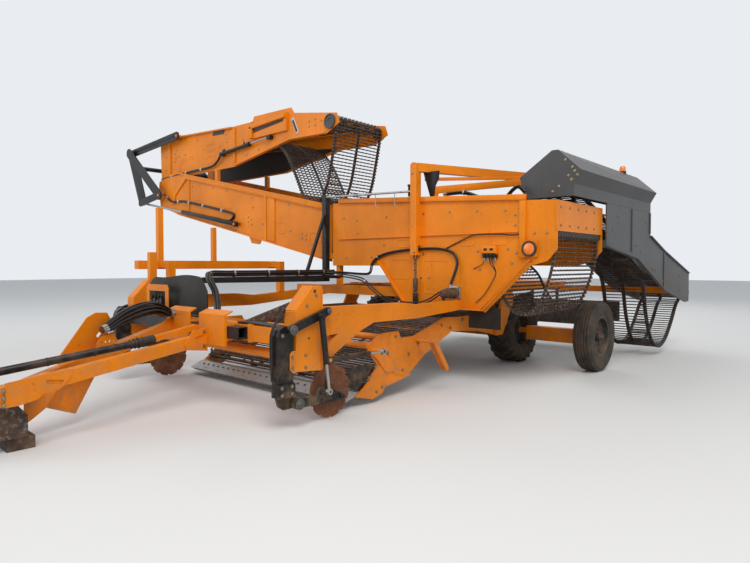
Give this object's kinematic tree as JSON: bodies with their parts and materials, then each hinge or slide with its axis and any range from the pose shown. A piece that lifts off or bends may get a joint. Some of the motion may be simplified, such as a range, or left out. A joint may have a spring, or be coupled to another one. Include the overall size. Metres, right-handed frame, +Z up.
{
  "type": "towed potato harvester",
  "caption": "Towed potato harvester with digging chain, side elevator, cross conveyor and a two-section folding delivery boom.",
  "frame": {"origin": "middle of the bounding box in X and Y, on the ground", "axes": "+X forward in travel, +Y to the left of the machine, +Z up"},
  "size_m": [11.4299, 11.19, 4.55],
  "materials": {
    "orange_paint": "gloss enamel, sun faded and dusty",
    "dark_grey_paint": "satin dark grey",
    "black_paint": "gloss black",
    "rusty_steel": "brown rust with bare worn spots",
    "black_chain": "dark steel rods",
    "rusty_block": "dark rusty block",
    "bare_steel": "bright worn steel",
    "lamp_lens": "orange lens",
    "black_rubber": "matte black sheet",
    "tyre_rubber": "dusty worn rubber",
    "rim_paint": "dusty dark grey rim"
  },
  "bodies": {
    "chassis": {"main_frame": "orange_paint", "axle_beam": "orange_paint", "toolbar": "orange_paint", "masts": "orange_paint", "right_frame": "orange_paint", "trough": "orange_paint", "gantry": "orange_paint", "elevator_casing": "dark_grey_paint", "elevator_hood": "dark_grey_paint", "coulter_legs": "black_paint", "slide_bar": "black_paint", "black_frame": "black_paint", "trough_chain": "rusty_steel", "chain_motor": "rusty_steel", "cross_conveyor": "rusty_steel", "second_bed": "rusty_steel", "elevator_chain": "black_chain", "valve_block": "bare_steel", "lamps": "lamp_lens", "rubber_flaps": "black_rubber", "hoses": "black_rubber"},
    "tongue": {"drawbar": "orange_paint", "deflectors": "orange_paint", "hitch_clevis": "rusty_steel", "hitch_block": "rusty_block", "drive_shaft": "black_paint", "tongue_hoses": "black_rubber"},
    "digger": {"digger_frame": "orange_paint", "digger_chain": "rusty_steel", "blade": "bare_steel"},
    "lift_barrels": {"lift_cylinders": "black_paint"},
    "lift_rods": {"lift_rods": "bare_steel"},
    "left_coulter": {"left_coulter_arm": "black_paint"},
    "left_coulter_disc": {"left_disc": "rusty_steel"},
    "left_coulter_barrel": {"left_coulter_cylinder": "black_paint"},
    "left_coulter_rod": {"left_coulter_rod": "bare_steel"},
    "right_coulter": {"right_coulter_arm": "black_paint"},
    "right_coulter_disc": {"right_disc": "rusty_steel"},
    "right_coulter_barrel": {"right_coulter_cylinder": "black_paint"},
    "right_coulter_rod": {"right_coulter_rod": "bare_steel"},
    "outrigger_wheel": {"outrigger_tyre": "tyre_rubber", "outrigger_rim": "rim_paint"},
    "left_main_wheel": {"left_main_tyre": "tyre_rubber", "left_main_rim": "rim_paint"},
    "right_main_wheel": {"right_main_tyre": "tyre_rubber", "right_main_rim": "rim_paint"},
    "boom": {"lower_boom": "orange_paint", "lower_boom_chain": "rusty_steel"},
    "boom_tip": {"upper_boom": "orange_paint", "upper_boom_chain": "rusty_steel", "upper_boom_lining": "black_rubber"},
    "fold_arm": {"fold_arm": "black_paint"},
    "fold_link": {"fold_link": "orange_paint"},
    "fold_barrels": {"fold_cylinder": "black_paint"},
    "fold_rods": {"fold_cylinder_rod": "bare_steel"}
  },
  "joints": [
    {"name": "outrigger_wheel_spin", "type": "hinge", "parent": "chassis", "child": "outrigger_wheel", "pos_m": [-1.745, 5.105, 0.53], "axis": [0, 1, 0], "continuous": true},
    {"name": "left_main_wheel_spin", "type": "hinge", "parent": "chassis", "child": "left_main_wheel", "pos_m": [-1.745, 3.755, 0.53], "axis": [0, 1, 0], "continuous": true},
    {"name": "right_main_wheel_spin", "type": "hinge", "parent": "chassis", "child": "right_main_wheel", "pos_m": [-1.745, 0.955, 0.53], "axis": [0, 1, 0], "continuous": true},
    {"name": "tongue_shift", "type": "slide", "parent": "chassis", "child": "tongue", "axis": [0, 1, 0], "range_m": [-1, 0.2]},
    {"name": "digger_lift", "type": "hinge", "parent": "chassis", "child": "digger", "pos_m": [-0.795, 2.355, 0.62], "axis": [0, -1, 0], "range_deg": [-3, 5]},
    {"name": "lift_barrels_turn", "type": "hinge", "parent": "chassis", "child": "lift_barrels", "pos_m": [2.895, 2.355, 0.64], "axis": [0, 1, 0], "range_deg": [-14, 20]},
    {"name": "lift_rods_extend", "type": "slide", "parent": "lift_barrels", "child": "lift_rods", "axis": [-0.9999, 0, -0.0119], "range_m": [-0.06, 0.07]},
    {"name": "left_coulter_lift", "type": "hinge", "parent": "chassis", "child": "left_coulter", "pos_m": [3.265, 4.125, 0.255], "axis": [0, 1, 0], "range_deg": [-8, 4]},
    {"name": "left_disc_spin", "type": "hinge", "parent": "left_coulter", "child": "left_coulter_disc", "pos_m": [2.755, 4.05, 0.285], "axis": [0, 1, 0], "continuous": true},
    {"name": "left_coulter_barrel_turn", "type": "hinge", "parent": "chassis", "child": "left_coulter_barrel", "pos_m": [3.045, 4.245, 1.085], "axis": [0, 1, 0], "range_deg": [-12, 12]},
    {"name": "left_coulter_rod_slide", "type": "slide", "parent": "left_coulter_barrel", "child": "left_coulter_rod", "axis": [-0.1322, 0, -0.9912], "range_m": [-0.25, 0.12]},
    {"name": "right_coulter_lift", "type": "hinge", "parent": "chassis", "child": "right_coulter", "pos_m": [3.265, 0.585, 0.255], "axis": [0, 1, 0], "range_deg": [-8, 4]},
    {"name": "right_disc_spin", "type": "hinge", "parent": "right_coulter", "child": "right_coulter_disc", "pos_m": [2.755, 0.66, 0.285], "axis": [0, 1, 0], "continuous": true},
    {"name": "right_coulter_barrel_turn", "type": "hinge", "parent": "chassis", "child": "right_coulter_barrel", "pos_m": [3.045, 0.465, 1.085], "axis": [0, 1, 0], "range_deg": [-12, 12]},
    {"name": "right_coulter_rod_slide", "type": "slide", "parent": "right_coulter_barrel", "child": "right_coulter_rod", "axis": [-0.1322, 0, -0.9912], "range_m": [-0.25, 0.12]},
    {"name": "boom_lift", "type": "hinge", "parent": "chassis", "child": "boom", "pos_m": [-0.37, 1.555, 1.75], "axis": [-1, 0, 0], "range_deg": [-10, 8]},
    {"name": "boom_fold", "type": "hinge", "parent": "boom", "child": "boom_tip", "pos_m": [-0.37, -4.245, 3.45], "axis": [1, 0, 0], "range_deg": [0, 180]},
    {"name": "fold_arm_turn", "type": "hinge", "parent": "boom", "child": "fold_arm", "pos_m": [-0.37, -4.015, 3.2], "axis": [1, 0, 0], "range_deg": [0, 155]},
    {"name": "fold_link_turn", "type": "hinge", "parent": "boom_tip", "child": "fold_link", "pos_m": [-0.37, -3.345, 4.46], "axis": [1, 0, 0], "range_deg": [-30, 0]},
    {"name": "fold_barrels_turn", "type": "hinge", "parent": "boom", "child": "fold_barrels", "pos_m": [-0.37, -1.095, 2.4], "axis": [1, 0, 0], "range_deg": [-5, 0]},
    {"name": "fold_rods_slide", "type": "slide", "parent": "fold_barrels", "child": "fold_rods", "axis": [0, -0.9844, 0.1757], "range_m": [-1.75, 0]}
  ],
  "couplings": [
    {"joint": "lift_barrels_turn", "follows": "digger_lift", "ratio": 3.2633},
    {"joint": "lift_rods_extend", "follows": "digger_lift", "m_per_rad": 0.5086},
    {"joint": "fold_arm_turn", "follows": "boom_fold", "ratio": 0.8528},
    {"joint": "fold_link_turn", "follows": "boom_fold", "ratio": -0.1583},
    {"joint": "fold_barrels_turn", "follows": "boom_fold", "ratio": -0.02078},
    {"joint": "fold_rods_slide", "follows": "boom_fold", "m_per_rad": -0.5532},
    {"joint": "left_coulter_barrel_turn", "follows": "left_coulter_lift", "ratio": -0.066},
    {"joint": "left_coulter_rod_slide", "follows": "left_coulter_lift", "m_per_rad": -0.3261},
    {"joint": "right_coulter_barrel_turn", "follows": "right_coulter_lift", "ratio": -0.066},
    {"joint": "right_coulter_rod_slide", "follows": "right_coulter_lift", "m_per_rad": -0.3261}
  ]
}
